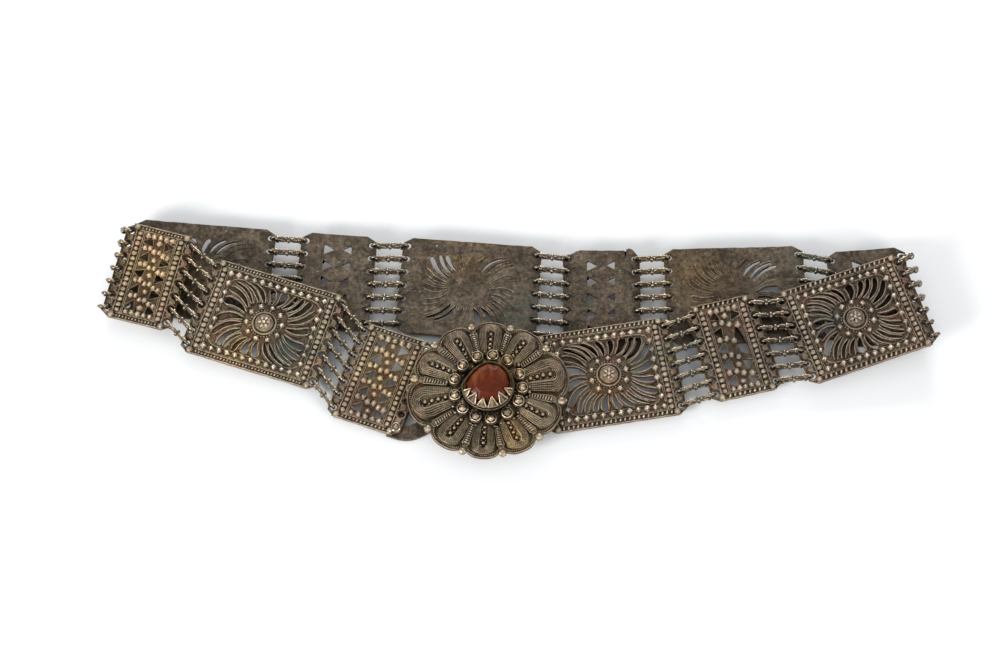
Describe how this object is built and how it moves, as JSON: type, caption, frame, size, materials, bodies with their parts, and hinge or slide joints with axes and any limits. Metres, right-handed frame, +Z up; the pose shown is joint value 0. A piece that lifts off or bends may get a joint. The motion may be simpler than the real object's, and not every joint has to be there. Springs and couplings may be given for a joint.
{
  "type": "panel belt",
  "caption": "Closed loop belt of cast pierced metal panels hung on rows of wire links, fastened by a petalled round buckle with a cut stone, folded flat.",
  "frame": {"origin": "centre of the footprint, on the surface that the belt lies on", "axes": "+X along the folded belt, to the right of someone facing its buckle; +Y from the buckle side to the back panels; +Z up"},
  "size_m": [0.4301, 0.1414, 0.0238],
  "materials": {
    "cast_silver": "cast silver, darkened in its hollows, worn bright on its high points",
    "link_wire": "worn silver wire",
    "plate_silver": "plain tarnished silver",
    "rosette_silver": "silver sheet and twisted wire, warm tarnish",
    "stone": "polished orange-brown banded stone, hardly see-through"
  },
  "bodies": {
    "root": {"swirl_panel_1": "cast_silver", "lattice_panel_1": "cast_silver", "swirl_panel_2": "cast_silver", "lattice_panel_2": "cast_silver", "swirl_panel_3": "cast_silver", "lattice_panel_3": "cast_silver", "swirl_panel_4": "cast_silver", "lattice_panel_4": "cast_silver", "swirl_panel_5": "cast_silver", "lattice_panel_5": "cast_silver", "swirl_panel_6": "cast_silver", "lattice_panel_6": "cast_silver", "link_row_01": "link_wire", "link_row_02": "link_wire", "link_row_03": "link_wire", "link_row_04": "link_wire", "link_row_05": "link_wire", "link_row_06": "link_wire", "link_row_07": "link_wire", "link_row_08": "link_wire", "link_row_09": "link_wire", "link_row_10": "link_wire", "link_row_11": "link_wire", "buckle_plate": "plate_silver", "buckle_rivets": "plate_silver", "clasp_pin": "plate_silver", "rosette": "rosette_silver", "agate_stone": "stone"}
  },
  "joints": []
}
